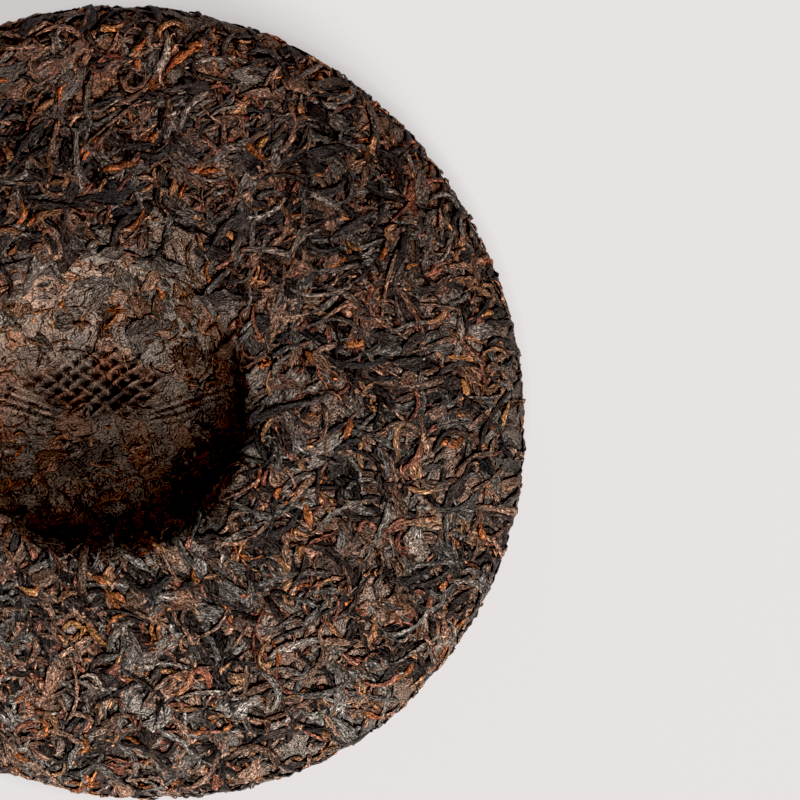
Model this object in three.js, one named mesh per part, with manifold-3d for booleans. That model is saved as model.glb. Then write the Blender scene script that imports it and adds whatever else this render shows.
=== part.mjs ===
// A round cake of pressed, twisted tea leaves, lying with its hollow side up.
// Millimetres, +Z up. The origin is under the middle of the cake, on the surface it lies on.

import * as THREE from "three";
import { mergeVertices } from "three/addons/utils/BufferGeometryUtils.js";
import Module from "manifold-3d";

// The cake as a whole
const CAKE_RADIUS = 100; // mean radius, to the leaves that stand out at the rim
const CAKE_THICKNESS = 24.5; // from the rest face to the leaves on the crown
const LEAF_PROUD = 1.1; // how far the leaves stand out of the pressed core
const CORE_RADIUS = CAKE_RADIUS - LEAF_PROUD;
const CROWN_HEIGHT = CAKE_THICKNESS - LEAF_PROUD;

// Its hand-pressed outline: lobes that the radius gains, and the directions they point in
const OVAL = { gain: 2.0, lobes: 2, towards: THREE.MathUtils.degToRad(-37) };
const TRIANGULAR = { gain: 1.0, lobes: 3, towards: THREE.MathUtils.degToRad(-49) };

// The underside, pressed flat in the middle and domed towards the rim
const REST_RADIUS = 40;
const RIM_BOTTOM_RADIUS = CORE_RADIUS - 7;
const RIM_BOTTOM_HEIGHT = 5.5;

// The rounded rim and the shoulder above it
const SHOULDER_RADIUS = CORE_RADIUS - 8;
const SHOULDER_HEIGHT = 18;
const RIM_BULGE = 2.5; // the control points stand this far outside the core's radius

// The hollow that the knot of the pressing cloth leaves, and how far off the middle it sits
const HOLLOW_RADIUS = 36;
const HOLLOW_FLOOR = 7.5; // height of its floor above the rest face
const HOLLOW_LIP = 5; // width of the rounded lip
const HOLLOW_LIP_DROP = 4;
const HOLLOW_OFFSET = new THREE.Vector2(-6, 0.6);

// The core's facets
const CORE_SEGMENTS = 48;
const CRAG = 0.35; // how far a vertex of the core may stand in or out

// The largest leaves, fused to the core
const LEAF = {
  length: [14, 30],
  width: [4, 8], // between the sunk edges; a little over half of it shows
  ridge: [1.3, 2.0], // height of the ridge above the leaf's middle line
  sunk: 0.35, // of the middle line and the tips below the core
  bend: 0.05, // radians of turn for each millimetre of length
  rimSpread: 0.3, // radians either way from the run of the rim, for the leaves on it
  sides: 3,
  rings: 3,
};
const LEAF_SPACING = 16.6; // between neighbours, both ways
const LEAF_FREE_RADIUS = 10; // none is centred nearer the axis than this
const LEAF_WALK_STEP = 1.5; // of the walk that lays a leaf along the surface
const SEED = 20;

const DRIED_LEAF = { color: 0x483830, roughness: 0.8, metalness: 0 };

// A seeded generator of numbers from 0 to 1, so that every build is the same.
function seededRandom(seed) {
  let state = seed >>> 0;
  return () => {
    state = (state + 0x6d2b79f5) >>> 0;
    let bits = Math.imul(state ^ (state >>> 15), state | 1);
    bits ^= bits + Math.imul(bits ^ (bits >>> 7), bits | 61);
    return ((bits ^ (bits >>> 14)) >>> 0) / 4294967296;
  };
}

const random = seededRandom(SEED);
const between = (low, high) => low + (high - low) * random();

// The core's half section, from the middle of the rest face round the rim to the middle of the hollow.
// Each curve comes with the number of rings that its bend needs.
function coreSection() {
  const at = (radius, height) => new THREE.Vector2(radius, height);
  const restEdge = at(REST_RADIUS, 0);
  const rimBottom = at(RIM_BOTTOM_RADIUS, RIM_BOTTOM_HEIGHT);
  const shoulder = at(SHOULDER_RADIUS, SHOULDER_HEIGHT);
  const crown = at(HOLLOW_RADIUS + HOLLOW_LIP, CROWN_HEIGHT);
  const lip = at(HOLLOW_RADIUS, CROWN_HEIGHT - HOLLOW_LIP_DROP);
  const rimOut = CORE_RADIUS + RIM_BULGE;
  return [
    { rings: 2, curve: new THREE.LineCurve(at(0, 0), restEdge) },
    {
      rings: 4,
      curve: new THREE.QuadraticBezierCurve(restEdge, at(REST_RADIUS + 30, 0), rimBottom),
    },
    {
      rings: 5,
      curve: new THREE.CubicBezierCurve(
        rimBottom,
        at(rimOut, RIM_BOTTOM_HEIGHT + 3),
        at(rimOut, SHOULDER_HEIGHT - 3.5),
        shoulder,
      ),
    },
    {
      rings: 4,
      curve: new THREE.QuadraticBezierCurve(shoulder, at(SHOULDER_RADIUS - 20, CROWN_HEIGHT - 0.5), crown),
    },
    {
      rings: 3,
      curve: new THREE.QuadraticBezierCurve(crown, at(HOLLOW_RADIUS + 1, CROWN_HEIGHT), lip),
    },
    {
      rings: 5,
      curve: new THREE.CubicBezierCurve(
        lip,
        at(HOLLOW_RADIUS - 3, HOLLOW_FLOOR + 2.5),
        at(HOLLOW_RADIUS - 14, HOLLOW_FLOOR),
        at(0, HOLLOW_FLOOR),
      ),
    },
  ];
}

const SECTION = coreSection();
const SECTION_PATH = new THREE.CurvePath();
SECTION.forEach(({ curve }) => SECTION_PATH.add(curve));
const SECTION_LENGTH = SECTION_PATH.getLength();

// Places along the section as shares of its length: one for each ring of the core.
function ringShares() {
  const shares = [0];
  let start = 0;
  for (const { curve, rings } of SECTION) {
    const length = curve.getLength();
    for (let ring = 1; ring <= rings; ring++)
      shares.push(Math.min((start + (length * ring) / rings) / SECTION_LENGTH, 1));
    start += length;
  }
  return shares;
}

const RIM_LENGTH = SECTION[2].curve.getLength();
const RIM_SHARE =
  (SECTION[0].curve.getLength() + SECTION[1].curve.getLength() + RIM_LENGTH / 2) / SECTION_LENGTH;
const onRim = (share) => Math.abs(share - RIM_SHARE) * SECTION_LENGTH < RIM_LENGTH;

const lobe = ({ gain, lobes, towards }, angle) => gain * Math.cos(lobes * (angle - towards));

// A point of the core's surface, at a share of the section's length and an angle round the axis.
// The outline's lobes fade towards the middle, and the upper face leans towards the off-centre hollow.
function surfacePoint(share, angle) {
  const { x: radius, y: height } = SECTION_PATH.getPointAt(THREE.MathUtils.clamp(share, 0, 1));
  const outward = (radius / CORE_RADIUS) ** 2;
  const pressed = radius + outward * (lobe(OVAL, angle) + lobe(TRIANGULAR, angle));
  const lean =
    share > RIM_SHARE ? 1 - THREE.MathUtils.smoothstep(radius, HOLLOW_RADIUS + HOLLOW_LIP, CORE_RADIUS) : 0;
  return new THREE.Vector3(
    pressed * Math.cos(angle) + lean * HOLLOW_OFFSET.x,
    pressed * Math.sin(angle) + lean * HOLLOW_OFFSET.y,
    height,
  );
}

// The surface's frame there: the point, the way along the section, the way round and the way out.
function surfaceFrame(share, angle) {
  const nudge = 1e-3;
  const point = surfacePoint(share, angle);
  const along = surfacePoint(share + nudge, angle).sub(surfacePoint(share - nudge, angle)).normalize();
  const round = surfacePoint(share, angle + nudge).sub(surfacePoint(share, angle - nudge)).normalize();
  const out = new THREE.Vector3().crossVectors(round, along).normalize();
  return { point, along, round, out };
}

let wasm;

// A closed three.js geometry as a solid that can be joined and cut.
function solidOf(geometry) {
  const bare = geometry.clone();
  bare.deleteAttribute("normal");
  bare.deleteAttribute("uv");
  const { attributes, index } = mergeVertices(bare, 1e-3);
  return new wasm.Manifold(
    new wasm.Mesh({
      numProp: 3,
      vertProperties: new Float32Array(attributes.position.array),
      triVerts: new Uint32Array(index.array),
    }),
  );
}

// A joined solid as a three.js geometry with flat facets.
function geometryOf(solid) {
  const { numProp, vertProperties, triVerts } = solid.getMesh();
  const positions = new Float32Array((vertProperties.length / numProp) * 3);
  for (let i = 0; i < positions.length / 3; i++)
    positions.set(vertProperties.subarray(i * numProp, i * numProp + 3), i * 3);
  const geometry = new THREE.BufferGeometry();
  geometry.setAttribute("position", new THREE.BufferAttribute(positions, 3));
  geometry.setIndex(new THREE.BufferAttribute(new Uint32Array(triVerts), 1));
  const faceted = geometry.toNonIndexed();
  faceted.computeVertexNormals();
  return faceted;
}

// The pressed core: the section turned round the axis, then moved to the cake's uneven form with small crags.
function pressedCore() {
  const shares = ringShares();
  const profile = shares.map((share) => SECTION_PATH.getPointAt(share));
  const geometry = new THREE.LatheGeometry(profile, CORE_SEGMENTS);
  const flatRings = SECTION[0].rings;
  const crags = new Map();
  const crag = (ring, segment) => {
    if (ring <= flatRings || ring === shares.length - 1) return 0;
    const key = `${ring},${segment}`;
    if (!crags.has(key)) crags.set(key, between(-CRAG, CRAG));
    return crags.get(key);
  };
  const position = geometry.getAttribute("position");
  for (let i = 0; i < position.count; i++) {
    const ring = i % shares.length;
    const segment = Math.floor(i / shares.length) % CORE_SEGMENTS;
    const angle = (segment / CORE_SEGMENTS) * 2 * Math.PI;
    const { point, out } = surfaceFrame(shares[ring], angle);
    point.addScaledVector(out, crag(ring, segment));
    position.setXYZ(i, point.x, point.y, point.z);
  }
  return geometry;
}

// Walks over the surface from a share and an angle, turning steadily, and returns the frame where it ends.
function walk(start, distance, heading, bend) {
  const steps = Math.max(1, Math.round(Math.abs(distance) / LEAF_WALK_STEP));
  const step = distance / steps;
  let { share, angle } = start;
  let course = heading;
  for (let i = 0; i < steps; i++) {
    course += bend * step;
    const { x: radius } = SECTION_PATH.getPointAt(THREE.MathUtils.clamp(share, 0, 1));
    share += (step * Math.cos(course)) / SECTION_LENGTH;
    angle += (step * Math.sin(course)) / Math.max(radius, LEAF_FREE_RADIUS / 2);
  }
  const { point, along, round, out } = surfaceFrame(share, angle);
  const across = along.multiplyScalar(-Math.sin(course)).addScaledVector(round, Math.cos(course));
  return { point, across, out };
}

// One twisted leaf: a sphere of three sides drawn out along a bent walk, its ridge up and its edges sunk.
function leafGeometry(start) {
  const length = between(...LEAF.length);
  const width = between(...LEAF.width);
  const ridge = between(...LEAF.ridge);
  const spread = onRim(start.share) ? LEAF.rimSpread : Math.PI / 2;
  const heading = Math.PI / 2 + between(-spread, spread);
  const bend = between(-LEAF.bend, LEAF.bend);
  const geometry = new THREE.SphereGeometry(1, LEAF.sides, LEAF.rings).rotateY(Math.PI / 2);
  const position = geometry.getAttribute("position");
  for (let i = 0; i < position.count; i++) {
    const { point, across, out } = walk(start, (position.getY(i) * length) / 2, heading, bend);
    point.addScaledVector(across, (position.getX(i) * width) / 2);
    point.addScaledVector(out, position.getZ(i) * ridge - LEAF.sunk);
    position.setXYZ(i, point.x, point.y, point.z);
  }
  return geometry;
}

// Evenly spread places for the leaves, in rows along the section.
function leafPlaces() {
  const places = [];
  const rows = Math.round(SECTION_LENGTH / LEAF_SPACING);
  for (let row = 0; row < rows; row++) {
    const middle = (row + 0.5) / rows;
    const radius = SECTION_PATH.getPointAt(middle).x;
    if (radius < LEAF_FREE_RADIUS) continue;
    const count = Math.round((2 * Math.PI * radius) / LEAF_SPACING);
    for (let i = 0; i < count; i++)
      places.push({
        share: middle + between(-0.3, 0.3) / rows,
        angle: ((i + between(-0.3, 0.3)) / count) * 2 * Math.PI,
      });
  }
  return places;
}

// What lies under the rest face, to cut the lowest leaves level with it.
function underRest() {
  const depth = 20;
  const side = 4 * CAKE_RADIUS;
  return new THREE.BoxGeometry(side, side, depth).translate(0, 0, -depth / 2);
}

// The outer skin of what was joined, without loose scraps or sealed gaps under the leaves.
function largestOf(solids) {
  return solids.reduce((largest, solid) => (solid.volume() > largest.volume() ? solid : largest));
}

async function teaCake() {
  wasm = await Module();
  wasm.setup();
  const core = solidOf(pressedCore());
  const leaves = leafPlaces().map((place) => solidOf(leafGeometry(place)));
  const fused = leaves.reduce((cake, leaf) => cake.add(leaf), core).subtract(solidOf(underRest()));
  const pressed = largestOf(fused.decompose());
  const mesh = new THREE.Mesh(geometryOf(pressed), new THREE.MeshStandardMaterial(DRIED_LEAF));
  mesh.name = "tea_cake";
  const middle = new THREE.Box3().setFromObject(mesh).getCenter(new THREE.Vector3());
  mesh.position.set(-middle.x, -middle.y, 0);
  const group = new THREE.Group();
  group.add(mesh);
  return group;
}

export default await teaCake();
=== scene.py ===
"""The looks of a round cake of pressed tea leaves, lying with its hollow side up.

The cake is a dark pressed core under thousands of twisted leaves, flakes, buds and stems.
Each kind of leaf is one mesh of closed leaves, laid along the cake's surface by seeded random numbers.
Lengths are in metres, in the frame of the solid model.
"""

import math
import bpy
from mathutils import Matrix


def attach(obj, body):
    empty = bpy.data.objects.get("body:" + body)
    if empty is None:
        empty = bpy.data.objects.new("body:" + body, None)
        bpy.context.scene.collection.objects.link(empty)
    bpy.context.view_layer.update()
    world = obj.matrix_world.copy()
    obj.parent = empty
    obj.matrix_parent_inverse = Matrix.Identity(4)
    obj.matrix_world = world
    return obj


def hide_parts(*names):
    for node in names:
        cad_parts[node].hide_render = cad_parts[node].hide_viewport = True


bl_info = {
    "name": "Pressed Tea Cake",
    "version": (1, 0, 0),
    "blender": (4, 5, 0),
    "location": "View3D > Sidebar > Tea Cake",
    "description": "Builds a round cake of pressed tea leaves and the stage it lies on",
    "category": "Add Mesh",
}

import bpy
import numpy as np
from mathutils import Vector

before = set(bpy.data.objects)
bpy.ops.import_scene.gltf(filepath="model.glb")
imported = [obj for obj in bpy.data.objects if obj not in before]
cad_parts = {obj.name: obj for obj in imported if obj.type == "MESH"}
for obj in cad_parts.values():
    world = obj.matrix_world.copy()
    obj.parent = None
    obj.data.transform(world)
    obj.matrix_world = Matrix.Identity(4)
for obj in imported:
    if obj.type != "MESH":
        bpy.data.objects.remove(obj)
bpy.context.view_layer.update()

MM = 0.001
NODE = "tea_cake"
SEED = 357
SHEET_SIZE = 60  # its edge is far out of every view
SHEET_GAP = 0.2 * MM  # keeps the sheet clear of the cake's rest face
SHEET_DARK = 78 * MM  # the sheet doesn't glow within this radius
SHEET_BRIGHT = 102 * MM  # and glows in full outside this one
DEEP_BLACK = (0.0135, 0.0135, 0.013)  # light that the picture shows as black
MOST_CURL = math.radians(160)  # no leaf closes into a ring
MOST_BRIGHT = 0.7  # the palest that a leaf gets, in its own hue
WARM_DARK = np.array([0.93, 1.02, 1.07])  # leaf turns redder as it gets darker
RUSTY = np.array([0.18, 0.02, -0.06])  # what rusty patches add to a leaf's colour
WARM_SIDE = np.array([0.1, -0.05, -0.11])  # what the far side of the cake adds to it
MIDDLE_PAINTED_LIGHT = 1.6  # painted light: how pale the leaves are at the cake's middle
PALE_REACH = 180 * MM  # the painted light pales them by a factor of e over this length, to the near side, which faces the key light
FAR_RIM_PAINTED_LIGHT = 1.1  # painted light that the far rim gains, which faces away from the key light
PAINTED_SHADE_BROWN = np.array([0.04, -0.14, -0.22])  # how the painted shade on the hollow's near wall changes its grey leaf
DUST_GREY = np.array([-0.04, 0.0, 0.02])  # what dust adds to the colour of the hollow's lining
CORD_BROWN = np.array([0.12, -0.03, -0.1])  # what the cloth's print adds to it
CORD_PITCH = 3.7 * MM
CORD_SLANT = math.radians(38)
PRINT_SIZE = (15.5 * MM, 9 * MM)  # half the print's width and depth
PRINT_OFFSET = (-2.3 * MM, 4.4 * MM)  # of the print's middle from the hollow's
GRAIN_SPREAD = 400 * MM  # so far apart are the leaves in the pattern of the grain, so that they differ


def length(name, description, millimetres):
    """A property for a length that is given in millimetres."""
    return bpy.props.FloatProperty(
        name=name, description=description, default=millimetres * MM, unit="LENGTH", precision=5
    )


def rotation(name, description, degrees):
    """A property for an angle that is given in degrees."""
    return bpy.props.FloatProperty(
        name=name, description=description, default=math.radians(degrees), unit="ROTATION"
    )


def number(name, description, value):
    """A property for a plain number."""
    return bpy.props.FloatProperty(name=name, description=description, default=value)


def eased(share):
    """A share from 0 to 1 that starts and ends gently."""
    return share * share * (3 - 2 * share)


def linear(hex_code):
    """An sRGB hex colour as linear red, green and blue."""
    values = [int(hex_code[i : i + 2], 16) / 255 for i in (0, 2, 4)]
    return tuple(v / 12.92 if v <= 0.04045 else ((v + 0.055) / 1.055) ** 2.4 for v in values)


def colour(name, description, hex_code):
    """A property for a colour that is given as an sRGB hex code."""
    return bpy.props.FloatVectorProperty(
        name=name, description=description, default=linear(hex_code), subtype="COLOR", size=3
    )


class TeaCakeShape(bpy.types.PropertyGroup):
    """The pressed form that the leaves lie on"""

    rest_radius: length("Rest radius", "Flat spot that the cake lies on", 40)
    rim_bottom_inset: length("Rim foot inset", "How far the rim's foot is inside the radius", 7)
    rim_bottom_height: length("Rim foot height", "Height where the domed underside meets the rim", 5.5)
    shoulder_inset: length("Shoulder inset", "How far the shoulder is inside the radius", 8)
    shoulder_height: length("Shoulder height", "Height where the rim meets the upper face", 18)
    rim_bulge: length("Rim bulge", "How far the rim's control points stand outside the radius", 2.5)
    hollow_radius: length("Hollow radius", "Radius of the hollow's wall at its lip", 36)
    hollow_floor: length("Hollow floor", "Height of the hollow's floor", 7.5)
    hollow_lip: length("Lip width", "Width of the hollow's rounded lip", 5)
    hollow_lip_drop: length("Lip drop", "How far the lip falls from the crown to the wall", 4)
    hollow_offset: bpy.props.FloatVectorProperty(
        name="Hollow offset",
        description="How far the hollow sits off the pressing axis",
        default=(-6 * MM, 0.6 * MM),
        size=2,
        unit="LENGTH",
    )
    axis: bpy.props.FloatVectorProperty(
        name="Pressing axis",
        description="Where the pressing axis stands, off the middle of the cake's box",
        default=(0.57 * MM, -0.72 * MM),
        size=2,
        unit="LENGTH",
    )
    radius: length("Core radius", "Mean radius of the core", 98.9)
    crown: length("Crown height", "Height of the core's crown", 23.4)
    oval_gain: length("Oval gain", "How far the outline's two opposite lobes stand out", 2.0)
    oval_towards: rotation("Oval direction", "Where one of the two lobes points", -37)
    triangular_gain: length("Triangular gain", "How far the outline's three lobes stand out", 1.0)
    triangular_towards: rotation("Triangle direction", "Where one of the three lobes points", -49)


class TeaCakeStage(bpy.types.PropertyGroup):
    """The light, the camera and the pale sheet under the cake"""

    sheet: colour("Sheet", "Pale sheet under the cake", "E4E0DF")
    # The sheet's glow is painted light that lightens the cake's shadow on the sheet.
    sheet_glow: number("Sheet glow", "Light through the sheet, which softens the shadow on it", 0.752)
    camera_height: length("Camera height", "Height of the camera over the sheet", 650)
    camera_right: length("Camera right", "How far the camera stands right of the cake's middle", 68.6)
    camera_up: length("Camera up", "How far the camera stands above the cake's middle in the picture", 0.3)
    view_width: length("View width", "Width of the picture at the height of the rim", 199.6)
    key_direction: rotation("Key direction", "Where the key light stands, round from the right", -55)
    key_elevation: rotation("Key elevation", "Height of the key light over the horizon", 36)
    key_width: rotation("Key width", "How wide the key light looks, which softens its shadows", 36)
    key_strength: number("Key strength", "Irradiance of the key light", 5.8)
    wall_direction: rotation("Wall direction", "Where the bright wall stands, round from the right", 105)
    wall_elevation: rotation("Wall elevation", "Height of the bright wall over the horizon", 12)
    wall_width: rotation("Wall width", "How wide the bright wall looks", 20)
    wall_strength: number("Wall strength", "Irradiance from a bright wall behind the cake", 0.6)
    fill_strength: number("Fill strength", "Brightness of the room", 0.16)


def bezier(controls, count):
    """Points of a Bezier curve after its first one."""
    share = np.linspace(0, 1, count + 1)[1:, None]
    order = len(controls) - 1
    terms = [
        math.comb(order, i) * (1 - share) ** (order - i) * share**i * np.array(control)
        for i, control in enumerate(controls)
    ]
    return sum(terms)


class PressedForm:
    """The surface of the pressed core: a half section turned round the axis, then pressed out of round."""

    STEP = 0.25 * MM
    CURVE_POINTS = 400

    def __init__(self, shape):
        self.shape = shape
        rest_edge = (shape.rest_radius, 0)
        rim_foot = (shape.radius - shape.rim_bottom_inset, shape.rim_bottom_height)
        shoulder = (shape.radius - shape.shoulder_inset, shape.shoulder_height)
        crown = (shape.hollow_radius + shape.hollow_lip, shape.crown)
        lip = (shape.hollow_radius, shape.crown - shape.hollow_lip_drop)
        rim_out = shape.radius + shape.rim_bulge
        curves = [
            ((0, 0), rest_edge),
            (rest_edge, (shape.rest_radius + 30 * MM, 0), rim_foot),
            (
                rim_foot,
                (rim_out, shape.rim_bottom_height + 3 * MM),
                (rim_out, shape.shoulder_height - 3.5 * MM),
                shoulder,
            ),
            (shoulder, (shape.radius - shape.shoulder_inset - 20 * MM, shape.crown - 0.5 * MM), crown),
            (crown, (shape.hollow_radius + 1 * MM, shape.crown), lip),
            (
                lip,
                (shape.hollow_radius - 3 * MM, shape.hollow_floor + 2.5 * MM),
                (shape.hollow_radius - 14 * MM, shape.hollow_floor),
                (0, shape.hollow_floor),
            ),
        ]
        points = np.vstack([np.zeros((1, 2))] + [bezier(curve, self.CURVE_POINTS) for curve in curves])
        run = np.concatenate([[0], np.cumsum(np.hypot(*np.diff(points, axis=0).T))])
        marks = run[self.CURVE_POINTS :: self.CURVE_POINTS]
        self.rest_end, self.rim_start, self.rim_end, self.crown_start, self.lip_end, self.end = marks
        self.rim_middle = (self.rim_start + self.rim_end) / 2
        self.runs = np.arange(0, self.end + self.STEP, self.STEP)
        self.radii = np.interp(self.runs, run, points[:, 0])
        self.heights = np.interp(self.runs, run, points[:, 1])
        radial = np.gradient(self.radii)
        rise = np.gradient(self.heights)
        size = np.hypot(radial, rise)
        self.out_radial = rise / size
        self.out_up = -radial / size

    def lean(self, run):
        """How far the upper face follows the hollow off the axis, from 0 at the rim to 1 at the lip."""
        shape = self.shape
        radius = np.interp(run, self.runs, self.radii)
        inner = shape.hollow_radius + shape.hollow_lip
        share = np.clip((radius - inner) / (shape.radius - inner), 0, 1)
        return np.where(run > self.rim_middle, 1 - eased(share), 0)

    def lobes(self, angle):
        """How far the outline's two and three lobes stand out at an angle."""
        shape = self.shape
        oval = shape.oval_gain * np.cos(2 * (angle - shape.oval_towards))
        return oval + shape.triangular_gain * np.cos(3 * (angle - shape.triangular_towards))

    def at(self, run, angle):
        """Points of the surface and the ways out of it, at runs along the section and angles round it."""
        shape = self.shape
        radius = np.interp(run, self.runs, self.radii)
        pressed = radius + (radius / shape.radius) ** 2 * self.lobes(angle)
        lean = self.lean(run)
        point = np.stack(
            [
                pressed * np.cos(angle) + lean * shape.hollow_offset[0] + shape.axis[0],
                pressed * np.sin(angle) + lean * shape.hollow_offset[1] + shape.axis[1],
                np.interp(run, self.runs, self.heights),
            ],
            axis=-1,
        )
        radial = np.interp(run, self.runs, self.out_radial)
        up = np.interp(run, self.runs, self.out_up)
        out = np.stack([radial * np.cos(angle), radial * np.sin(angle), up], axis=-1)
        return point, out / np.linalg.norm(out, axis=-1, keepdims=True)

    def nearest(self, point, run, reach):
        """The run and angle of the surface nearest to a point, sought within reach of a known run."""
        shape = self.shape
        lean = self.lean(run)
        x = point[..., 0] - shape.axis[0] - lean * shape.hollow_offset[0]
        y = point[..., 1] - shape.axis[1] - lean * shape.hollow_offset[1]
        angle = np.arctan2(y, x)
        pressed = np.hypot(x, y)
        radius = pressed - (pressed / shape.radius) ** 2 * self.lobes(angle)
        trial = np.clip(run[:, None] + reach[:, None] * np.linspace(-1.5, 1.5, 31), 0, self.end)
        gap = (np.interp(trial, self.runs, self.radii) - radius[:, None]) ** 2
        gap = gap + (np.interp(trial, self.runs, self.heights) - point[:, 2][:, None]) ** 2
        best = np.argmin(gap, axis=1)
        return trial[np.arange(len(run)), best], angle

    def from_hollow(self, point):
        """How far a point is to the right of the hollow's middle, and how far beyond it."""
        shape = self.shape
        return [point[..., i] - shape.axis[i] - shape.hollow_offset[i] for i in (0, 1)]

    def scatter(self, random, count, start, stop):
        """Runs and angles spread evenly over the surface between two runs."""
        rows = (self.runs >= start) & (self.runs <= stop)
        weight = np.cumsum(self.radii[rows])
        run = np.interp(random.random(count) * weight[-1], weight, self.runs[rows])
        return run, random.random(count) * 2 * math.pi


def value_noise(points, size, seed):
    """Smooth random numbers from -1 to 1 in space, with bumps of that size and a pattern for each seed."""
    place = points / size
    cell = np.floor(place).astype(np.int64)
    share = eased(place - cell)
    total = np.zeros(points.shape[:-1])
    for corner in range(8):
        step = np.array([corner & 1, corner >> 1 & 1, corner >> 2 & 1])
        # A hash of its place gives each corner of the cell its own number.
        x, y, z = np.moveaxis(cell + step, -1, 0)
        mixed = (x * 374761393 + y * 668265263 + z * 2147483647 + seed * 974634777) & 0xFFFFFFFF
        mixed = ((mixed ^ (mixed >> 13)) * 1274126177) & 0xFFFFFFFF
        mixed = (mixed ^ (mixed >> 16)) & 0xFFFF
        weight = np.prod(np.where(step, share, 1 - share), axis=-1)
        total += weight * (mixed / 32767.5 - 1)
    return total


def mesh_object(name, points, faces_of, colours, places, material):
    """A mesh object from arrays: points, lists of faces, and a colour and a grain place for each point."""
    mesh = bpy.data.meshes.new(name)
    corners = np.concatenate([faces.ravel() for faces in faces_of])
    sides = np.concatenate([np.full(len(faces), faces.shape[1]) for faces in faces_of])
    mesh.vertices.add(len(points))
    mesh.vertices.foreach_set("co", points.astype(np.float32).ravel())
    mesh.loops.add(len(corners))
    mesh.loops.foreach_set("vertex_index", corners.astype(np.int32))
    mesh.polygons.add(len(sides))
    mesh.polygons.foreach_set("loop_start", (np.cumsum(sides) - sides).astype(np.int32))
    mesh.update(calc_edges=True)
    tint = mesh.attributes.new("leaf_colour", "FLOAT_COLOR", "POINT")
    with_alpha = np.column_stack([colours, np.ones(len(colours))])
    tint.data.foreach_set("color", with_alpha.astype(np.float32).ravel())
    grain = mesh.attributes.new("grain_place", "FLOAT_VECTOR", "POINT")
    grain.data.foreach_set("vector", places.astype(np.float32).ravel())
    mesh.polygons.foreach_set("use_smooth", np.full(len(sides), True))
    mesh.materials.append(material)
    piece = bpy.data.objects.new(name, mesh)
    bpy.context.collection.objects.link(piece)
    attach(piece, "root")
    return piece


def leaf_paths(form, run, angle, heading, step, bend, sway, rings):
    """Walks from each start over the surface; returns points, directions and ways out, leaf by ring."""
    point, out = form.at(run, angle)
    round_way = np.stack([-np.sin(angle), np.cos(angle), np.zeros_like(angle)], axis=-1)
    along = np.cross(out, round_way)
    way = np.cos(heading)[:, None] * along + np.sin(heading)[:, None] * round_way
    points, ways, outs = [], [], []
    for ring in range(rings):
        points.append(point)
        ways.append(way)
        outs.append(out)
        share = ring / (rings - 1)
        turn = (bend + sway * math.cos(2 * math.pi * share)) * step
        side = np.cross(out, way)
        way = np.cos(turn)[:, None] * way + np.sin(turn)[:, None] * side
        run, angle = form.nearest(point + way * step[:, None], run, step)
        point, out = form.at(run, angle)
        way = way - np.sum(way * out, axis=1, keepdims=True) * out
        way = way / np.linalg.norm(way, axis=1, keepdims=True)
    return np.stack(points, 1), np.stack(ways, 1), np.stack(outs, 1)


def between(random, limits, count):
    """Random numbers between two limits."""
    return limits[0] + (limits[1] - limits[0]) * random.random(count)


def leaf_colours(random, palette, count, spread):
    """A colour for each leaf: one of the palette's colours by its share, a little lighter or darker."""
    shades = np.array([shade for shade, _ in palette])
    shares = np.array([share for _, share in palette], dtype=float)
    picked = shades[random.choice(len(shades), count, p=shares / shares.sum())]
    return picked * np.exp(spread * np.clip(random.normal(0, 1, count), -2, 1.4))[:, None]


def rust_and_painted_light(points):
    """Tint of the leaves by place: painted light, paler to the near side, which faces the key light, and
    on the far rim, which faces away from it; and rusty in patches.
    """
    across = points[..., 1]
    pale = MIDDLE_PAINTED_LIGHT * np.exp(-across / PALE_REACH) * (1 + 0.2 * value_noise(points, 14 * MM, 8))
    pale = pale * (1 + FAR_RIM_PAINTED_LIGHT * np.clip((across - 62 * MM) / (33 * MM), 0, 1))
    rust = np.clip(1.6 * value_noise(points, 7 * MM, 9), 0, 1)
    warm = np.clip(across / (80 * MM), -0.2, 1)
    return pale[..., None] * (1 + rust[..., None] * RUSTY + warm[..., None] * WARM_SIDE)


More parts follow.
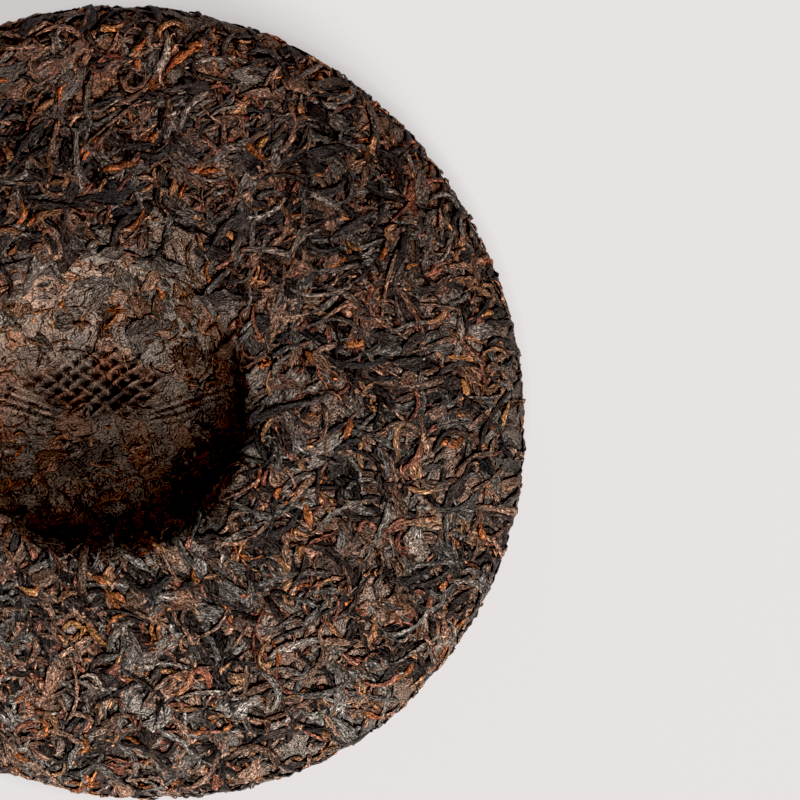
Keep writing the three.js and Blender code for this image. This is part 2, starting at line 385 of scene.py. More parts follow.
def press_leaves(name, form, random, kind, run, angle, heading, palette, material, tone=1):
    """One kind of leaf as one mesh: every leaf is a bent, tapered, twisted spindle on the surface.

    The tone multiplies the leaves' colours.
    """
    count = len(run)
    rings, sides = kind["rings"], kind["sides"]
    long = between(random, kind["length"], count)
    wide = between(random, kind["width"], count)
    thick = wide * between(random, kind["flatness"], count)
    hooked = 1 + 1.4 * (random.random(count) < kind["hooks"])
    bend = np.clip(random.normal(0, 1, count) * kind["bend"] * hooked, -MOST_CURL, MOST_CURL) / long
    sway = random.normal(0, 1, count) * kind["sway"] / long
    points, ways, outs = leaf_paths(form, run, angle, heading, long / (rings - 1), bend, sway, rings)
    across = np.cross(outs, ways)

    # The width grows from both ends to the leaf's broadest place.
    share = np.linspace(0, 1, rings)[None, :]
    blunt = between(random, kind["blunt"], count)[:, None]
    tip = between(random, (0.25, 0.75), count)[:, None]
    from_tip = np.where(share < tip, share / tip, (1 - share) / (1 - tip))
    taper = 0.06 + 0.94 * np.clip(from_tip, 0, 1) ** blunt
    pinch = 1 + 0.1 * random.normal(0, 1, (count, rings))
    taper = taper * np.clip(pinch, 0.6, 1.4)

    # The leaf lies over the surface, and its ends dip into it.
    lift = between(random, kind["lift"], count)[:, None]
    dip = between(random, kind["dip"], count)[:, None] * np.abs(2 * share - 1) ** 3
    wave = kind["wave"] * random.normal(0, 1, (count, rings))
    lift = lift - dip + wave

    # The section has one point below and the others on the leaf's face. Creases wind along the leaf.
    upper = np.linspace(-0.12 * math.pi, 1.12 * math.pi, sides - 1)
    around = np.append(upper, 1.5 * math.pi)[None, None, :]
    profile_up = np.sign(np.sin(around)) * np.abs(np.sin(around)) ** kind["boxy"]
    twist = (random.random(count) * 2 * math.pi)[:, None] + share * (
        random.normal(0, 1, count) * kind["twist"]
    )[:, None]
    spun = around + twist[:, :, None]
    first, second = random.random((2, count)) * 2 * math.pi
    crease = 1 + kind["crease"] * np.cos(2 * spun + first[:, None, None])
    crease = crease + 0.7 * kind["crease"] * np.cos(3 * spun + second[:, None, None])
    folds = random.normal(0, 1, (count, 1, sides)) + 0.7 * random.normal(0, 1, (count, rings, sides))
    crumple = kind["crumple"] * folds * np.minimum(taper, 1)[:, :, None]
    ragged = 1 + kind["ragged"] * random.normal(0, 1, (count, rings, 2))
    edge_of = np.where(np.cos(around) > 0, ragged[:, :, :1], ragged[:, :, 1:])
    bank = np.radians(random.normal(0, kind["bank"], count))[:, None, None]
    side = (wide[:, None] * taper / 2)[:, :, None] * crease * edge_of * np.cos(around)
    rise = (thick[:, None] * taper / 2)[:, :, None] * crease * profile_up + crumple
    tilted = side * np.cos(bank) - rise * np.sin(bank)
    raised = side * np.sin(bank) + rise * np.cos(bank) + lift[:, :, None]
    solid = points[:, :, None, :] + across[:, :, None, :] * tilted[..., None]
    solid = solid + outs[:, :, None, :] * raised[..., None]
    solid[..., 2] = np.maximum(solid[..., 2], 0)

    # The colour is darker at the edges and at the ends, painted shade where the leaf sinks under its
    # neighbours and into the cake, and darker in streaks.
    tint = leaf_colours(random, palette, count, kind["spread"]) * tone
    top = np.clip((np.sin(around) + 0.1) / 0.6, 0, 1)
    shade = kind["edge"] + (1 - kind["edge"]) * eased(top)
    streak = 1 + 0.22 * random.normal(0, 1, (count, 1, sides))
    streak = streak + 0.2 * random.normal(0, 1, (count, rings, 1))
    shade = shade * np.clip(streak, 0.35, 1.7)
    bared = np.clip(4 * np.minimum(share, 1 - share), 0, 1)
    shade = shade * (0.45 + 0.55 * bared)[:, :, None]
    tints = tint[:, None, None, :] * shade[..., None] ** WARM_DARK * rust_and_painted_light(points)[:, :, None, :]
    tints = tints / np.maximum(tints.max(axis=-1, keepdims=True) / MOST_BRIGHT, 1)
    # Wrinkles and crumbs are drawn along the leaf and across it, from a place in the grain of its own.
    places = np.stack(
        np.broadcast_arrays(
            share[:, :, None] * long[:, None, None],
            (1 - np.cos(around)) / 2 * wide[:, None, None],
            (random.random(count) * GRAIN_SPREAD)[:, None, None],
        ),
        axis=-1,
    )

    index = np.arange(count * rings * sides).reshape(count, rings, sides)
    turned = np.roll(index, -1, axis=2)
    quads = np.stack([index[:, :-1], turned[:, :-1], turned[:, 1:], index[:, 1:]], axis=-1).reshape(-1, 4)
    caps = np.concatenate([index[:, 0, ::-1], index[:, -1, :]])
    return mesh_object(
        name,
        solid.reshape(-1, 3),
        [quads, caps],
        tints.reshape(-1, 3),
        places.reshape(-1, 3),
        material,
    )


def heading_of(course, angle, out):
    """Headings on the surface of leaves that lie along a course as seen from above."""
    return np.where(out[:, 2] > 0, math.pi - course + angle, course - angle)


def drift_heading(form, random, run, angle, follow, spread):
    """Headings of leaves in bundles: most follow a slow drift over the cake, the others lie any way."""
    point, out = form.at(run, angle)
    drift = math.pi * 1.3 * value_noise(point, 24 * MM, 11)
    loose = random.random(len(run)) * 2 * math.pi
    drift = heading_of(drift, angle, out) + random.normal(0, spread, len(run))
    heading = np.where(random.random(len(run)) < follow, drift, loose)
    # Near the rim, most leaves lie along it.
    rimward = 0.75 * np.clip(1 - (run - form.rim_end) / (9 * MM), 0, 1)
    along_rim = math.pi / 2 + random.normal(0, 0.6, len(run))
    return np.where((random.random(len(run)) < rimward) & (run > form.rim_start), along_rim, heading)


def feed(tree, socket, source):
    """Links a socket to its source, or sets it to a plain value."""
    if isinstance(source, bpy.types.NodeSocket):
        tree.links.new(source, socket)
    else:
        socket.default_value = source


def node(tree, kind, settings=None, **links):
    """Adds a shader node, sets its own settings and its sockets' values, and links the sockets given."""
    made = tree.nodes.new(kind)
    for key, value in (settings or {}).items():
        if key in made.inputs:
            made.inputs[key].default_value = value
        else:
            setattr(made, key, value)
    for socket, source in links.items():
        tree.links.new(source, made.inputs[socket.replace("_", " ")])
    return made


def maths(tree, operation, *sources):
    """The result of a math node that is fed from sockets or with plain numbers."""
    made = node(tree, "ShaderNodeMath", {"operation": operation})
    for socket, source in zip(made.inputs, sources):
        feed(tree, socket, source)
    return made.outputs["Value"]


def mapped(tree, value, start, end, low=0, high=1, way="LINEAR"):
    """The value with its range from start to end mapped to the one from low to high."""
    made = node(tree, "ShaderNodeMapRange", {"interpolation_type": way}, Value=value)
    for name, source in (("From Min", start), ("From Max", end), ("To Min", low), ("To Max", high)):
        feed(tree, made.inputs[name], source)
    return made.outputs["Result"]


def new_tree(name):
    """A new material and its empty node tree."""
    material = bpy.data.materials.new(name)
    material.use_nodes = True
    material.node_tree.nodes.clear()
    return material, material.node_tree


def swirling_furrows(tree, place, period):
    """Furrows that swirl over a broad leaf and are worn away here and there: 0 in a furrow, 1 outside."""
    waves = node(
        tree,
        "ShaderNodeTexWave",
        {
            "Scale": math.pi / (10 * period),
            "Distortion": 22,
            "Detail": 4,
            "Detail Scale": 0.2,
            "Detail Roughness": 0.62,
        },
        Vector=place,
    )
    wear = node(tree, "ShaderNodeTexNoise", {"Scale": 1 / (2.5 * MM), "Detail": 2}, Vector=place)
    floor = mapped(tree, wear.outputs["Fac"], 0.35, 0.62, 0.9, 0)
    return mapped(tree, waves.outputs["Fac"], 0, 0.55, floor, 1, "SMOOTHSTEP")


def long_furrows(tree, place, period):
    """Furrows that run along a leaf and part and meet: 0 in a furrow, 1 outside."""
    scale = (0.3 / period, 1 / period, 1 / (10 * MM))
    along = node(tree, "ShaderNodeMapping", {"Scale": scale}, Vector=place)
    folds = node(
        tree,
        "ShaderNodeTexNoise",
        {"Scale": 1, "Detail": 3, "Roughness": 0.65, "Distortion": 1.5},
        Vector=along.outputs["Vector"],
    )
    ridge = maths(tree, "ABSOLUTE", maths(tree, "SUBTRACT", folds.outputs["Fac"], 0.5))
    return mapped(tree, ridge, 0, 0.1, way="SMOOTHSTEP")


def dry_surface(tree, tint, furrows, grain, look):
    """The tint darkened by painted shade in the furrows and in crevices, and specked by the grain, with
    furrows and grain as relief.
    """
    lines = mapped(tree, furrows, 0, 1, 1 - look["furrow"], 1)
    specks = mapped(tree, grain, 0.36, 0.64, 1 - look["speck"], 1 + look["speck"])
    # Painted shade: the colour darkens where other leaves close in round a point.
    hidden = node(tree, "ShaderNodeAmbientOcclusion", {"samples": 4, "Distance": look["crevice"]})
    painted_crevice_shade = mapped(tree, hidden.outputs["AO"], 0.36, 0.9, 0.06, 1)
    dim = maths(tree, "MULTIPLY", maths(tree, "MULTIPLY", lines, specks), painted_crevice_shade)
    shaded = node(tree, "ShaderNodeVectorMath", {"operation": "SCALE"}, Vector=tint, Scale=dim)
    height = maths(tree, "MULTIPLY_ADD", furrows, 0.6, grain)
    relief = node(tree, "ShaderNodeBump", {"Strength": 1.0, "Distance": look["relief"]}, Height=height)
    surface = node(
        tree,
        "ShaderNodeBsdfPrincipled",
        {"Roughness": look["roughness"], "IOR": 1.45, "Specular IOR Level": look["specular"]},
        Base_Color=shaded.outputs["Vector"],
        Normal=relief.outputs["Normal"],
    )
    node(tree, "ShaderNodeOutputMaterial", Surface=surface.outputs["BSDF"])


def skin_material(name, tones, patch, look):
    """Broad leaves pressed flush: patches of their own tone and furrow direction, with painted shade in
    their seams and furrows.
    """
    material, tree = new_tree(name)
    place = node(tree, "ShaderNodeTexCoord").outputs["Object"]
    wobble = node(tree, "ShaderNodeTexNoise", {"Scale": 1 / (0.6 * patch), "Detail": 3}, Vector=place)
    shift = node(
        tree,
        "ShaderNodeVectorMath",
        {"operation": "SCALE", "Scale": 1.1 * patch},
        Vector=wobble.outputs["Color"],
    )
    bent = node(tree, "ShaderNodeVectorMath", {"operation": "ADD"}, Vector=place)
    tree.links.new(shift.outputs["Vector"], bent.inputs[1])
    leaves = node(tree, "ShaderNodeTexVoronoi", {"Scale": 1 / patch}, Vector=bent.outputs["Vector"])
    seams = node(
        tree,
        "ShaderNodeTexVoronoi",
        {"feature": "DISTANCE_TO_EDGE", "Scale": 1 / patch},
        Vector=bent.outputs["Vector"],
    )
    own = node(tree, "ShaderNodeSeparateColor", Color=leaves.outputs["Color"])
    turned = node(
        tree,
        "ShaderNodeVectorRotate",
        {"rotation_type": "Z_AXIS"},
        Vector=bent.outputs["Vector"],
        Angle=maths(tree, "MULTIPLY", own.outputs["Red"], 2 * math.pi),
    )
    furrows = swirling_furrows(tree, turned.outputs["Vector"], look["period"])
    seam = mapped(tree, seams.outputs["Distance"], -0.02, 0.05, way="SMOOTHSTEP")
    lines = maths(tree, "MULTIPLY", furrows, seam)
    grain = node(
        tree,
        "ShaderNodeTexNoise",
        {"Scale": 1 / (0.45 * MM), "Detail": 2, "Roughness": 0.65},
        Vector=place,
    )
    ramp = node(tree, "ShaderNodeValToRGB", Fac=own.outputs["Green"])
    stops = ramp.color_ramp.elements
    while len(stops) < len(tones):
        stops.new(0.5)
    for i, shade in enumerate(tones):
        stops[i].position = i / (len(tones) - 1)
        stops[i].color = (*shade, 1)
    tint = node(tree, "ShaderNodeAttribute", {"attribute_name": "leaf_colour"})
    tone = node(tree, "ShaderNodeVectorMath", {"operation": "MULTIPLY"}, Vector=ramp.outputs["Color"])
    tree.links.new(tint.outputs["Color"], tone.inputs[1])
    dry_surface(tree, tone.outputs["Vector"], lines, grain.outputs["Fac"], look)
    return material


def leaf_material(name, look):
    """A dry leaf: its own colour, with furrows along it and crumbs over it in colour and relief."""
    material, tree = new_tree(name)
    tint = node(tree, "ShaderNodeAttribute", {"attribute_name": "leaf_colour"})
    place = node(tree, "ShaderNodeAttribute", {"attribute_name": "grain_place"})
    furrows = long_furrows(tree, place.outputs["Vector"], look["period"])
    crumbs = node(tree, "ShaderNodeMapping", {"Scale": (0.6, 1, 1)}, Vector=place.outputs["Vector"])
    grain = node(
        tree,
        "ShaderNodeTexNoise",
        {"Scale": 1 / (0.42 * MM), "Detail": 2, "Roughness": 0.65},
        Vector=crumbs.outputs["Vector"],
    )
    dry_surface(tree, tint.outputs["Color"], furrows, grain.outputs["Fac"], look)
    return material


# A dry, fermented leaf is nearly black-brown, with a satin face that catches the light on its ridges.
# Its wrinkles are about 0.3 mm apart. All looks draw them coarser than that, so that they show.
# Furrow says how dark the painted shade in the wrinkles is, speck how strongly crumbs show, and crevice
# how wide the gaps with painted shade are.
DARK_LEAF = {
    "roughness": 0.5,
    "specular": 0.38,
    "furrow": 0.92,
    "period": 0.7 * MM,
    "speck": 0.9,
    "relief": 0.5 * MM,
    "crevice": 0.9 * MM,
}
# Buds keep a fine down, so they are matte and catch the light evenly.
DOWNY_BUD = dict(DARK_LEAF, roughness=0.7, specular=0.25, furrow=0.8, speck=0.8)
# Broken leaf and dust pressed together, with no shine.
LEAF_DUST = dict(DARK_LEAF, roughness=0.85, specular=0.15, speck=0.65)
# Broad leaves pressed flush, dull from the dust on them.
FLUSH_LEAF = dict(DARK_LEAF, roughness=0.6, specular=0.25, speck=0.85)
# Crumbled leaf in the hollow, matte and speckled.
HOLLOW_DUST = dict(DARK_LEAF, roughness=0.8, specular=0.2, furrow=0.95, period=0.9 * MM, speck=0.6)


def leaf_named(name, look):
    """The leaf material of that name, made the first time it is asked for."""
    return bpy.data.materials.get(name) or leaf_material(name, look)


class TeaCakeColours(bpy.types.PropertyGroup):
    """What the leaves' faces look like"""

    black: colour("Black leaf", "Most fermented leaves", "302722")
    grey: colour("Grey leaf", "Dull greyish faces", "685E56")
    umber: colour("Umber leaf", "Common brown leaves", "775A49")
    russet: colour("Russet leaf", "Red-brown leaves", "7B4E3D")
    tan: colour("Tan leaf", "Paler leaves and stems", "986E50")
    orange: colour("Orange bud", "Golden buds", "A0613B")
    straw: colour("Straw bud", "Palest buds", "A4754B")
    lining: colour("Lining", "Greyish leaf dust that lines the hollow", "6E655C")


# Each kind of leaf has its sizes, its bends in radians over its whole length, its bank in degrees,
# its height over the surface, the wrinkling of its section, the spread of its colours and its edge, the
# painted shade at its sides.
TWISTED = {
    "length": (7 * MM, 23 * MM),
    "width": (1.0 * MM, 2.5 * MM),
    "flatness": (0.35, 0.65),
    "bend": 1.5,
    "sway": 1.8,
    "hooks": 0.35,
    "blunt": (0.12, 0.5),
    "lift": (0.25 * MM, 0.65 * MM),
    "dip": (0.3 * MM, 1.0 * MM),
    "wave": 0.12 * MM,
    "twist": 5.0,
    "crease": 0.18,
    "crumple": 0.06 * MM,
    "ragged": 0.06,
    "boxy": 0.8,
    "bank": 10,
    "spread": 0.3,
    "edge": 0.08,
    "rings": 10,
    "sides": 6,
}
FLAKE = dict(
    TWISTED,
    length=(9 * MM, 20 * MM),
    width=(2.6 * MM, 6.0 * MM),
    flatness=(0.12, 0.2),
    bend=0.8,
    sway=0.8,
    hooks=0.05,
    blunt=(0.5, 0.95),
    lift=(0.2 * MM, 0.55 * MM),
    twist=0.5,
    crease=0.06,
    crumple=0.13 * MM,
    ragged=0.14,
    boxy=0.4,
    bank=4,
    rings=8,
    sides=10,
)
BUD = dict(
    TWISTED,
    length=(4 * MM, 12 * MM),
    lift=(0.35 * MM, 0.8 * MM),
    blunt=(0.25, 0.6),
    edge=0.15,
)
STEM = dict(
    TWISTED,
    length=(10 * MM, 26 * MM),
    width=(0.7 * MM, 1.3 * MM),
    flatness=(0.7, 0.95),
    bend=0.7,
    sway=0.6,
    blunt=(0.08, 0.2),
    lift=(0.35 * MM, 0.8 * MM),
    twist=0.6,
    crease=0.08,
    rings=9,
)
CRUMB = dict(
    TWISTED,
    length=(1.2 * MM, 4 * MM),
    width=(0.6 * MM, 1.6 * MM),
    lift=(0.35 * MM, 0.75 * MM),
    dip=(0.1 * MM, 0.5 * MM),
    rings=4,
    sides=5,
)
FINE = dict(
    TWISTED,
    length=(3 * MM, 9 * MM),
    width=(0.5 * MM, 1.5 * MM),
    flatness=(0.25, 0.45),
    lift=(-0.05 * MM, 0.25 * MM),
    dip=(0.1 * MM, 0.5 * MM),
    crumple=0.05 * MM,
    rings=6,
)
FIBRE = dict(
    STEM,
    length=(6 * MM, 18 * MM),
    width=(0.25 * MM, 0.5 * MM),
    bend=0.6,
    lift=(0.1 * MM, 0.4 * MM),
    dip=(0.0 * MM, 0.3 * MM),
    wave=0.03 * MM,
    sides=4,
)
RIM = dict(
    TWISTED,
    length=(4 * MM, 12 * MM),
    width=(0.8 * MM, 2.0 * MM),
    bend=0.8,
    sway=0.7,
    hooks=0.15,
    lift=(0.0 * MM, 0.4 * MM),
    dip=(0.3 * MM, 0.8 * MM),
    bank=5,
    rings=8,
)


# The share of each colour among the leaves of a kind.
PALETTES = {
    "dark": {"black": 0.42, "grey": 0.36, "umber": 0.22},
    "brown": {"umber": 0.4, "grey": 0.16, "russet": 0.26, "tan": 0.18},
    "bud": {"orange": 0.45, "straw": 0.1, "tan": 0.25, "russet": 0.2},
    "stem": {"black": 0.55, "umber": 0.35, "russet": 0.1},
    "flake": {"black": 0.35, "grey": 0.45, "umber": 0.2},
    "crumb": {"umber": 0.35, "grey": 0.2, "tan": 0.3, "orange": 0.15},
    "fine": {"grey": 0.35, "umber": 0.35, "tan": 0.2, "orange": 0.1},
    "lining": {"grey": 0.45, "lining": 0.2, "umber": 0.35},
    "fibre": {"tan": 0.7, "umber": 0.3},
    "rim": {"black": 0.28, "grey": 0.14, "umber": 0.28, "orange": 0.12, "tan": 0.18},
    "under": {"black": 0.35, "grey": 0.35, "umber": 0.2, "orange": 0.1},
}


def shared(context):
    """The form and the palettes that every kind of leaf shares."""
    shades = context.scene.tea_cake_colours
    palettes = {
        name: [(getattr(shades, shade), share) for shade, share in mix.items()]
        for name, mix in PALETTES.items()
    }
    return PressedForm(context.scene.tea_cake_shape), palettes


def cloth_print(form, point, margin=0):
    """Heights from 0 to 1 of crossed cords pressed into the hollow's floor, and how clear the print is."""
    x, y = form.from_hollow(point)
    x = x - PRINT_OFFSET[0] + 0.8 * MM * value_noise(point, 6 * MM, 21)
    y = y - PRINT_OFFSET[1] + 0.8 * MM * value_noise(point, 6 * MM, 22)
    first = (x * math.sin(CORD_SLANT) - y * math.cos(CORD_SLANT)) / (0.8 * CORD_PITCH)
    second = (x * math.sin(CORD_SLANT) + y * math.cos(CORD_SLANT)) / (0.8 * CORD_PITCH)
    over = np.cos(math.pi * first) * np.cos(math.pi * second)
    rising = (0.5 + 0.5 * np.cos(2 * math.pi * first)) ** 2.2 * (0.7 + 0.3 * over)
    falling = (0.5 + 0.5 * np.cos(2 * math.pi * second)) ** 2.2 * (0.7 - 0.3 * over)
    edge = np.hypot(x / PRINT_SIZE[0], y / PRINT_SIZE[1]) + 0.25 * value_noise(point, 5 * MM, 23)
    clear = np.clip((1.1 + margin - edge) / 0.3, 0, 1) * (point[..., 2] < form.shape.crown / 2)
    return np.maximum(rising, falling), clear


def hollow_painted_light(form, point):
    """Painted light in the hollow: 0 at the near wall, which lies in shade, 1 at the far one, which the
    key light reaches.
    """
    across = (point[..., 1] - form.shape.hollow_offset[1]) / form.shape.hollow_radius
    return eased(np.clip((across + 0.3) / 1.1, 0, 1))


def pleats(form, point):
    """Folds of the pressing cloth beside its print, rising to both sides: -1 in a fold, 1 on a ridge."""
    x, y = form.from_hollow(point)
    x = np.abs(x)
    y = y + 3.5 * MM - 0.3 * (x - 12 * MM) + 0.7 * MM * value_noise(point, 7 * MM, 31)
    reach = np.clip((x - 10 * MM) / (4 * MM), 0, 1) * np.clip((34 * MM - x) / (8 * MM), 0, 1)
    return reach * np.exp(-((y / (3.2 * MM)) ** 2)) * np.cos(2 * math.pi * y / (1.9 * MM))


class TEACAKE_OT_core(bpy.types.Operator):
    """Press the dark core of leaf and dust that the leaves lie on"""

    bl_idname = "tea_cake.core"
    bl_label = "Pressed Core"

    def execute(self, context):
        form, _ = shared(context)
        # Rings of points, closer together on the upper face than below, and closest in the hollow.
        segments = 340
        run = np.concatenate(
            [
                np.arange(2.4 * MM, form.rim_start, 2.4 * MM),
                np.arange(form.rim_start, form.crown_start, 1.7 * MM),
                np.arange(form.crown_start, form.end - 0.5 * MM, 0.55 * MM),
            ]
        )
        angle = np.linspace(0, 2 * math.pi, segments, endpoint=False)
        runs, angles = np.meshgrid(run, angle, indexing="ij")
        point, out = form.at(runs, angles)
        # Bumps of two sizes, flatter on the rest face. The underside is sunk, for its leaves to lie in.
        relief = 0.3 * MM * value_noise(point, 5 * MM, 3) + 0.22 * MM * value_noise(point, 2.4 * MM, 4)
        proud = np.where(runs < form.rim_end, 0, 0.2 * MM)
        relief = np.where(runs < form.rest_end, 0.5 * relief, relief + proud)
        relief = relief - 0.7 * MM * np.clip((form.rim_start - runs) / (6 * MM), 0, 1)
        sunk = np.clip((runs - form.crown_start) / (form.lip_end - form.crown_start), 0, 1)
        # In the hollow, the cloth's cords stand out of its sunk print, with its pleats to both sides.
        cords, pressed = cloth_print(form, point)
        relief = relief * (1 - 0.5 * sunk) + pressed * (1.3 * MM * cords - 1.0 * MM)
        # Painted shade: the core is dark between the rim's leaves. In the hollow it has painted light on
        # the far wall, which the key light reaches, and painted shade, darker and browner, on the near
        # wall.
        hollow_lit = hollow_painted_light(form, point)
        sides = np.clip(1 - np.abs(runs - form.rim_middle) / (12 * MM), 0, 1)
        # Painted shade darkens the sunk cells of the cloth's print between its cords.
        tint = (0.9 - 0.5 * sides + sunk * (0.92 * hollow_lit - 0.5)) * (1 + pressed * (1.05 * cords - 0.9))
        # The pleats get painted shade in their folds and painted light on their ridges.
        fold = pleats(form, point) * sunk * (1 - pressed)
        relief = relief + 0.35 * MM * fold
        tint = tint * (1 + (0.4 - 0.15 * sunk) * value_noise(point, 3 * MM, 5)) * (1 + 0.6 * fold)
        warm = (sunk * (1 - hollow_lit))[..., None] * PAINTED_SHADE_BROWN
        dust_grey_and_shade_brown = 1 + sunk[..., None] * DUST_GREY + warm
        brown_cords = 1 + pressed[..., None] * CORD_BROWN
        tint = tint[..., None] * dust_grey_and_shade_brown * brown_cords * rust_and_painted_light(point)
        point = point + out * relief[..., None]
        point[..., 2] = np.maximum(point[..., 2], 0)
        bottom, _ = form.at(np.zeros(1), np.zeros(1))
        floor, _ = form.at(np.full(1, form.end), np.zeros(1))
        bottom[:, 2] = point[0, :, 2].mean()
        points = np.vstack([bottom, point.reshape(-1, 3), floor])
        index = 1 + np.arange(len(run) * segments).reshape(len(run), segments)
        turned = np.roll(index, -1, axis=1)
        quads = np.stack([index[:-1], turned[:-1], turned[1:], index[1:]], axis=-1).reshape(-1, 4)
        first = np.stack([np.zeros(segments, int), turned[0], index[0]], axis=-1)
        last = np.stack([np.full(segments, len(points) - 1), index[-1], turned[-1]], axis=-1)
        shades = context.scene.tea_cake_colours
        tones = (shades.black, shades.grey, shades.umber, shades.grey)
        flush = skin_material("leaf_pressed_flush", tones, 9 * MM, FLUSH_LEAF)
        tones = (shades.black, shades.grey, shades.lining, shades.umber, shades.lining)
        lining = skin_material("leaf_dust_lining", tones, 6 * MM, HOLLOW_DUST)
        tints = np.vstack([np.ones((1, 3)), tint.reshape(-1, 3), tint[-1, :1]])
        piece = mesh_object("pressed_core", points, [quads, first, last], tints, points, flush)
        piece.data.materials.append(lining)
        lined = np.repeat(run[:-1] > form.lip_end, segments)
        lined = np.concatenate([lined, np.zeros(segments), np.ones(segments)])
        piece.data.polygons.foreach_set("material_index", lined.astype(np.int32))
        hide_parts(NODE)
        return {"FINISHED"}


class TEACAKE_OT_upper_leaves(bpy.types.Operator):
    """Lay the twisted leaves and flakes of the upper face"""

    bl_idname = "tea_cake.upper_leaves"
    bl_label = "Upper Leaves"

    def execute(self, context):
        form, palettes = shared(context)
        random = np.random.default_rng(SEED)
        low, high = form.rim_end - 1 * MM, form.crown_start
        small = dict(TWISTED, length=(5 * MM, 13 * MM), width=(0.8 * MM, 1.7 * MM))
        narrow = dict(FLAKE, length=(6 * MM, 14 * MM), width=(1.6 * MM, 3.6 * MM))
        satin = leaf_named("dark_leaf_satin", DARK_LEAF)
        for name, kind, count, palette, follow in (
            ("dark_flakes", FLAKE, 620, "flake", 0.7),
            ("brown_flakes", narrow, 420, "brown", 0.6),
            ("dark_leaves", TWISTED, 1400, "dark", 0.65),
            ("brown_leaves", small, 850, "brown", 0.55),
            ("leaf_crumbs", CRUMB, 600, "crumb", 0.2),
        ):
            run, angle = form.scatter(random, count, low, high)
            heading = drift_heading(form, random, run, angle, follow, 0.45)
            press_leaves(name, form, random, kind, run, angle, heading, palettes[palette], satin)
        return {"FINISHED"}


class TEACAKE_OT_buds(bpy.types.Operator):
    """Lay the golden buds and the stems among the upper leaves"""

    bl_idname = "tea_cake.buds"
    bl_label = "Buds and Stems"

    def execute(self, context):
        form, palettes = shared(context)
        random = np.random.default_rng(SEED + 1)
        low, high = form.rim_end - 3 * MM, form.crown_start
        for name, kind, count, palette, material in (
            ("golden_buds", BUD, 280, "bud", leaf_named("downy_bud_matte", DOWNY_BUD)),
            ("stems", STEM, 110, "stem", leaf_named("dark_leaf_satin", DARK_LEAF)),
        ):
            run, angle = form.scatter(random, count, low, high)
            heading = drift_heading(form, random, run, angle, 0.4, 0.5)
            press_leaves(name, form, random, kind, run, angle, heading, palettes[palette], material)
        return {"FINISHED"}


class TEACAKE_OT_hollow(bpy.types.Operator):
    """Line the hollow with fine broken leaf"""

    bl_idname = "tea_cake.hollow"
    bl_label = "Hollow Lining"

    def execute(self, context):
        form, palettes = shared(context)
        random = np.random.default_rng(SEED + 2)
        matte = leaf_named("pressed_leaf_dust", LEAF_DUST)
        start = form.crown_start - 2 * MM
        flush = dict(
            FLAKE,
            length=(7 * MM, 15 * MM),
            flatness=(0.1, 0.18),
            lift=(-0.05 * MM, 0.25 * MM),
            spread=0.25,
        )
        for name, kind, count, palette, margin in (
            ("hollow_flakes", flush, 190, "lining", 0.7),
            ("hollow_fines", FINE, 650, "fine", 0.15),
            ("hollow_fibres", FIBRE, 130, "fibre", 0.1),
        ):
            run, angle = form.scatter(random, count, start, form.end)
            point, _ = form.at(run, angle)
            # No leaf lies on the cloth's print. Leaves on the hollow's near wall get painted shade, darker
            # and browner.
            _, printed = cloth_print(form, point, margin)
            run, angle, point = run[printed == 0], angle[printed == 0], point[printed == 0]
            heading = drift_heading(form, random, run, angle, 0.5, 0.6)
            hollow_lit = hollow_painted_light(form, point)[:, None]
            tone = (0.58 + 0.36 * hollow_lit) * (1 + (1 - hollow_lit) * PAINTED_SHADE_BROWN)
            press_leaves(name, form, random, kind, run, angle, heading, palettes[palette], matte, tone)
        return {"FINISHED"}


class TEACAKE_OT_rim_and_underside(bpy.types.Operator):
    """Wrap the rim with leaves that run along it, and cover the underside"""

    bl_idname = "tea_cake.rim_and_underside"
    bl_label = "Rim and Underside"

    def execute(self, context):
        form, palettes = shared(context)
        random = np.random.default_rng(SEED + 3)
        satin = leaf_named("dark_leaf_satin", DARK_LEAF)
        run, angle = form.scatter(random, 1400, form.rim_start - 3 * MM, form.rim_end + 1 * MM)
        heading = math.pi / 2 + random.normal(0, 0.6, len(run))
        press_leaves("rim_leaves", form, random, RIM, run, angle, heading, palettes["rim"], satin)
        run, angle = form.scatter(random, 650, form.rim_start + 2 * MM, form.rim_end + 2 * MM)
        heading = 2 * math.pi * random.random(len(run))
        nubs = dict(CRUMB, length=(2 * MM, 5 * MM), width=(0.7 * MM, 1.9 * MM), lift=(0.2 * MM, 0.6 * MM))
        press_leaves("rim_crumbs", form, random, nubs, run, angle, heading, palettes["rim"], satin)
        run, angle = form.scatter(random, 1100, 4 * MM, form.rim_start)
        heading = drift_heading(form, random, run, angle, 0.5, 0.5)
        under = dict(
            TWISTED,
            length=(7 * MM, 18 * MM),
            width=(1.4 * MM, 3.4 * MM),
            lift=(-0.8 * MM, -0.3 * MM),
            rings=7,
            sides=5,
        )
        press_leaves("under_leaves", form, random, under, run, angle, heading, palettes["under"], satin)
        return {"FINISHED"}


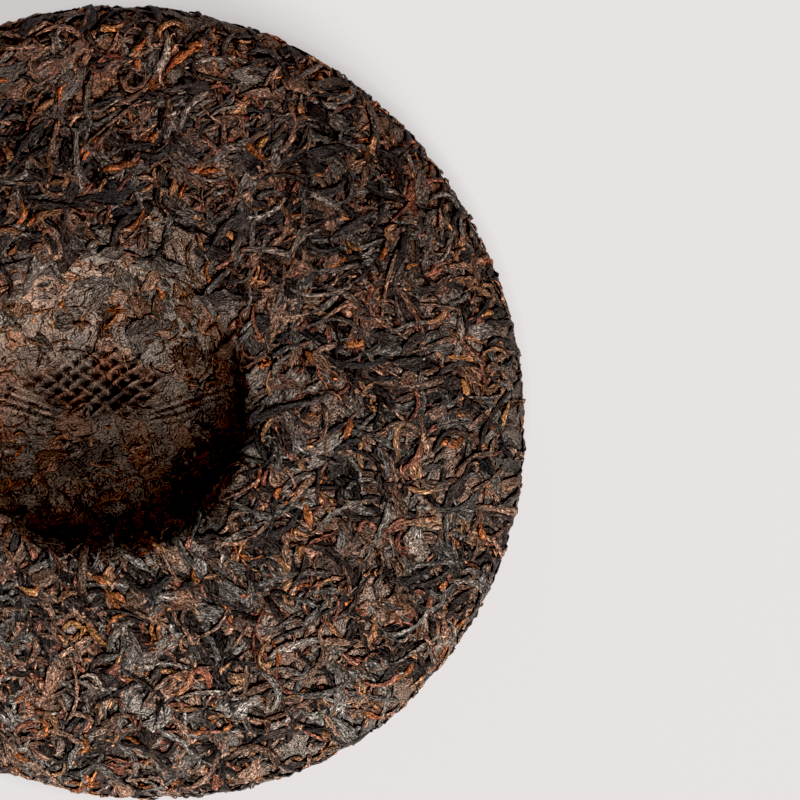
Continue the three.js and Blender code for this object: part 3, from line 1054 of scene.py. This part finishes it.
class TEACAKE_OT_stage(bpy.types.Operator):
    """Set the pale sheet, the light and the camera"""

    bl_idname = "tea_cake.stage"
    bl_label = "Stage"

    def execute(self, context):
        stage = context.scene.tea_cake_stage
        bpy.ops.mesh.primitive_plane_add(size=SHEET_SIZE, location=(0, 0, -SHEET_GAP))
        sheet = context.object
        sheet.name = "sheet"
        sheet.data.materials.append(self.pale_paper(stage))

        self.far_light(context, "key")
        self.far_light(context, "wall")

        world = bpy.data.worlds.new("room")
        world.use_nodes = True
        room = world.node_tree.nodes["Background"]
        room.inputs["Strength"].default_value = stage.fill_strength
        room.inputs["Color"].default_value = (1, 1, 1, 1)
        context.scene.world = world
        look = context.scene.view_settings
        look.view_transform = "Standard"
        look.use_curve_mapping = True
        look.curve_mapping.black_level = DEEP_BLACK
        look.curve_mapping.update()

        rim_height = context.scene.tea_cake_shape.crown / 2
        camera = bpy.data.cameras.new("camera")
        camera.lens = camera.sensor_width * (stage.camera_height - rim_height) / stage.view_width
        camera_object = bpy.data.objects.new("camera", camera)
        camera_object.location = (stage.camera_right, stage.camera_up, stage.camera_height)
        context.collection.objects.link(camera_object)
        context.scene.camera = camera_object
        return {"FINISHED"}

    def far_light(self, context, name):
        """A soft light far off, placed by the stage's properties of that name."""
        stage = context.scene.tea_cake_stage
        direction = getattr(stage, f"{name}_direction")
        elevation = getattr(stage, f"{name}_elevation")
        light = bpy.data.lights.new(name, "SUN")
        light.energy = getattr(stage, f"{name}_strength")
        light.angle = getattr(stage, f"{name}_width")
        holder = bpy.data.objects.new(name, light)
        flat = math.cos(elevation)
        towards = Vector((flat * math.cos(direction), flat * math.sin(direction), math.sin(elevation)))
        holder.rotation_euler = towards.to_track_quat("Z", "Y").to_euler()
        context.collection.objects.link(holder)

    def pale_paper(self, stage):
        """Matte paper that glows with painted light, which softens the cake's shadow on it, but none where
        the cake lies.
        """
        paper, tree = new_tree("pale_paper")
        place = node(tree, "ShaderNodeTexCoord").outputs["Object"]
        reach = node(tree, "ShaderNodeVectorMath", {"operation": "LENGTH"}, Vector=place)
        glow = mapped(tree, reach.outputs["Value"], SHEET_DARK, SHEET_BRIGHT, 0, stage.sheet_glow)
        surface = node(
            tree,
            "ShaderNodeBsdfPrincipled",
            {
                "Base Color": (*(0.2 * part for part in stage.sheet), 1),
                "Roughness": 0.9,
                "Emission Color": (*stage.sheet, 1),
            },
            Emission_Strength=glow,
        )
        node(tree, "ShaderNodeOutputMaterial", Surface=surface.outputs["BSDF"])
        return paper


class TEACAKE_PT_panel(bpy.types.Panel):
    """Buttons that build the cake's pieces and the stage"""

    bl_idname = "TEACAKE_PT_panel"
    bl_label = "Pressed Tea Cake"
    bl_space_type = "VIEW_3D"
    bl_region_type = "UI"
    bl_category = "Tea Cake"

    def draw(self, context):
        for operator in OPERATORS:
            self.layout.operator(operator.bl_idname)


OPERATORS = (
    TEACAKE_OT_core,
    TEACAKE_OT_upper_leaves,
    TEACAKE_OT_buds,
    TEACAKE_OT_hollow,
    TEACAKE_OT_rim_and_underside,
    TEACAKE_OT_stage,
)
CLASSES = (TeaCakeShape, TeaCakeColours, TeaCakeStage, *OPERATORS, TEACAKE_PT_panel)


def register():
    for cls in CLASSES:
        bpy.utils.register_class(cls)
    bpy.types.Scene.tea_cake_shape = bpy.props.PointerProperty(type=TeaCakeShape)
    bpy.types.Scene.tea_cake_colours = bpy.props.PointerProperty(type=TeaCakeColours)
    bpy.types.Scene.tea_cake_stage = bpy.props.PointerProperty(type=TeaCakeStage)


def unregister():
    del bpy.types.Scene.tea_cake_stage
    del bpy.types.Scene.tea_cake_colours
    del bpy.types.Scene.tea_cake_shape
    for cls in reversed(CLASSES):
        bpy.utils.unregister_class(cls)


def main():
    """Builds the cake and its stage."""
    register()
    bpy.ops.tea_cake.core()
    bpy.ops.tea_cake.upper_leaves()
    bpy.ops.tea_cake.buds()
    bpy.ops.tea_cake.hollow()
    bpy.ops.tea_cake.rim_and_underside()
    bpy.ops.tea_cake.stage()


if __name__ == "__main__":
    main()
